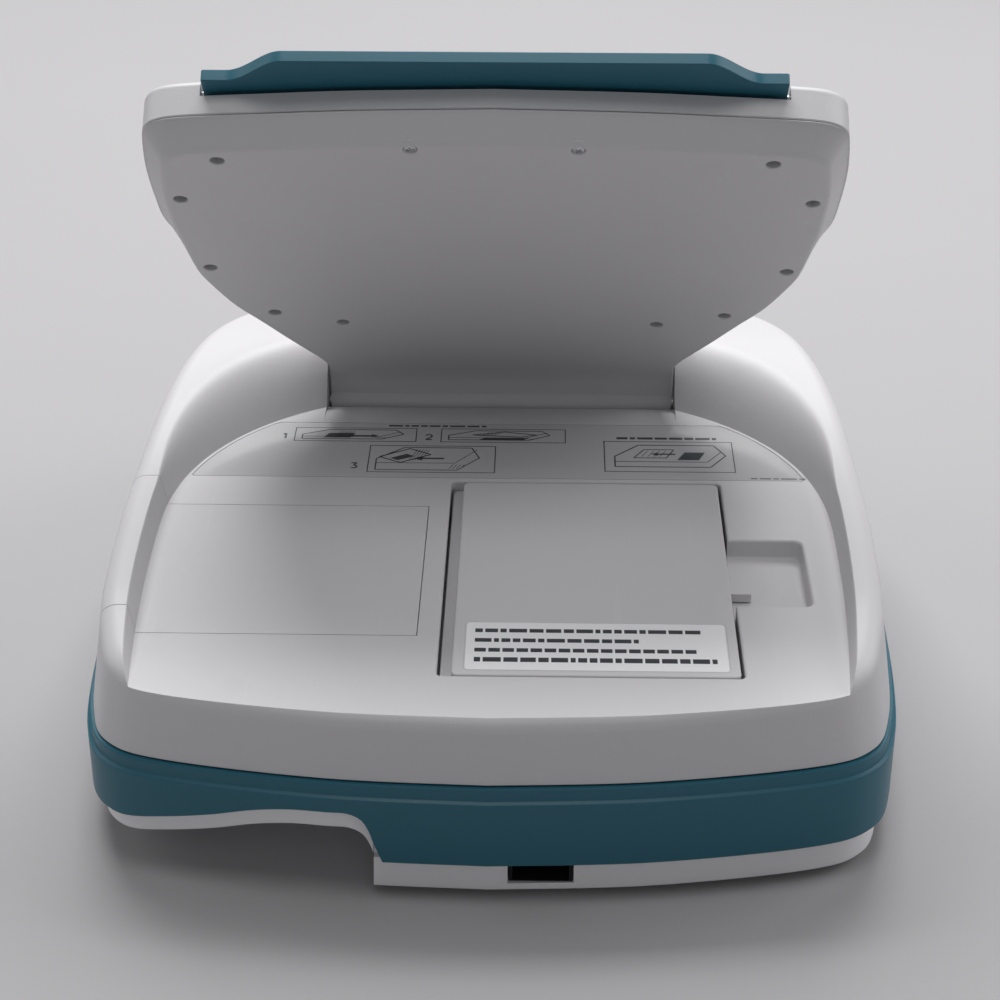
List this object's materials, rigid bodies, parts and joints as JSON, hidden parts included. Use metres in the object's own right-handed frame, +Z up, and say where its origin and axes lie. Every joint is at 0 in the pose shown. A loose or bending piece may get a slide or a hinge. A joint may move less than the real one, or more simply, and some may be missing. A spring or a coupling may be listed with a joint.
{
  "type": "portable ecg recorder",
  "caption": "Portable bench ECG recorder: low rounded base with removable battery, sliding paper door and roll printer, and a folding display with a carry handle.",
  "frame": {"origin": "centre of the bounding box, on the surface that the feet stand on", "axes": "+Z up, +Y from the rear edge with the battery to the operator's keys, +X to the right as seen from the rear"},
  "size_m": [0.2732, 0.3268, 0.2431],
  "materials": {
    "white_plastic": "fine moulded texture, off white",
    "teal_plastic": "smooth satin, teal",
    "grey_plastic": "satin grey",
    "dark_plastic": "matt black",
    "rubber": "matt rubber",
    "steel": "bright steel",
    "brass": "turned brass",
    "board": "green circuit board",
    "label": "printed label, glossy film",
    "chart_paper": "thermal chart paper",
    "screen_glass": "anti-glare glass",
    "lcd": "dark panel",
    "cable": "amber film",
    "power_green": "satin green"
  },
  "bodies": {
    "base": {"upper_shell": "white_plastic", "accent_band": "teal_plastic", "lower_housing": "white_plastic", "instruction_label": "label", "foot_rear_left": "rubber", "foot_rear_right": "rubber", "foot_front_left": "rubber", "foot_front_right": "rubber", "main_board": "board", "lead_input_board": "board", "input_shield": "steel", "board_connector": "dark_plastic", "patient_socket": "grey_plastic", "power_inlet": "dark_plastic", "speaker": "dark_plastic", "data_port": "dark_plastic", "printer_motor": "steel", "printer_frame": "steel", "print_head": "dark_plastic", "paper_bay": "dark_plastic", "latch_spring": "steel", "battery_contacts": "brass", "hinge_bracket_left": "steel", "hinge_bracket_right": "steel", "key_mat": "rubber", "key_board": "board"},
    "door": {"paper_door": "white_plastic", "tear_bar": "steel"},
    "platen": {"platen_roller": "rubber", "platen_shaft": "steel", "platen_gear": "grey_plastic"},
    "pinion": {"drive_pinion": "brass"},
    "roll": {"paper_roll": "chart_paper", "roll_spindle": "dark_plastic"},
    "battery": {"battery_pack": "white_plastic", "battery_label": "label"},
    "latch": {"battery_latch": "grey_plastic"},
    "display": {"display_rear_cover": "white_plastic", "display_front_bezel": "white_plastic", "touch_glass": "screen_glass", "lcd_panel": "lcd", "display_board": "board", "display_cable": "cable", "hinge_shaft": "steel", "handle_pin_left": "steel", "handle_pin_right": "steel"},
    "handle": {"carry_handle": "teal_plastic"},
    "key_1_body": {"key_1": "grey_plastic"},
    "key_2_body": {"key_2": "grey_plastic"},
    "key_3_body": {"key_3": "grey_plastic"},
    "key_4_body": {"key_4": "grey_plastic"},
    "key_5_body": {"key_5": "grey_plastic"},
    "power_key_body": {"power_key": "power_green"}
  },
  "joints": [
    {"name": "display_tilt", "type": "hinge", "parent": "base", "child": "display", "pos_m": [0, 0.06675, 0.063], "axis": [-1, 0, 0], "range_deg": [-50, 15]},
    {"name": "handle_swing", "type": "hinge", "parent": "display", "child": "handle", "pos_m": [0, -0.03601, 0.2235], "axis": [-1, 0, 0], "range_deg": [0, 90]},
    {"name": "door_slide", "type": "slide", "parent": "base", "child": "door", "axis": [-1, 0, 0], "range_m": [0, 0.072]},
    {"name": "platen_spin", "type": "hinge", "parent": "door", "child": "platen", "pos_m": [-0.112, -0.06925, 0.0565], "axis": [0, 1, 0], "continuous": true},
    {"name": "pinion_spin", "type": "hinge", "parent": "base", "child": "pinion", "pos_m": [-0.1016, -0.06925, 0.0565], "axis": [0, 1, 0], "continuous": true},
    {"name": "roll_spin", "type": "hinge", "parent": "base", "child": "roll", "pos_m": [-0.062, -0.06925, 0.0425], "axis": [0, 1, 0], "continuous": true},
    {"name": "battery_slide", "type": "slide", "parent": "base", "child": "battery", "axis": [-1, 0, 0], "range_m": [0, 0.004]},
    {"name": "latch_slide", "type": "slide", "parent": "base", "child": "latch", "axis": [1, 0, 0], "range_m": [0, 0.003], "stiffness_N_per_m": 300, "springref_m": -0.002},
    {"name": "key_1_press", "type": "slide", "parent": "base", "child": "key_1_body", "axis": [0, 0, -1], "range_m": [0, 0.001], "stiffness_N_per_m": 400, "springref_m": -0.001},
    {"name": "key_2_press", "type": "slide", "parent": "base", "child": "key_2_body", "axis": [0, 0, -1], "range_m": [0, 0.001], "stiffness_N_per_m": 400, "springref_m": -0.001},
    {"name": "key_3_press", "type": "slide", "parent": "base", "child": "key_3_body", "axis": [0, 0, -1], "range_m": [0, 0.001], "stiffness_N_per_m": 400, "springref_m": -0.001},
    {"name": "key_4_press", "type": "slide", "parent": "base", "child": "key_4_body", "axis": [0, 0, -1], "range_m": [0, 0.001], "stiffness_N_per_m": 400, "springref_m": -0.001},
    {"name": "key_5_press", "type": "slide", "parent": "base", "child": "key_5_body", "axis": [0, 0, -1], "range_m": [0, 0.001], "stiffness_N_per_m": 400, "springref_m": -0.001},
    {"name": "power_key_press", "type": "slide", "parent": "base", "child": "power_key_body", "axis": [0, 0, -1], "range_m": [0, 0.001], "stiffness_N_per_m": 400, "springref_m": -0.001}
  ],
  "couplings": [
    {"joint": "platen_spin", "follows": "roll_spin", "ratio": -3.6},
    {"joint": "pinion_spin", "follows": "roll_spin", "ratio": 5.76}
  ]
}
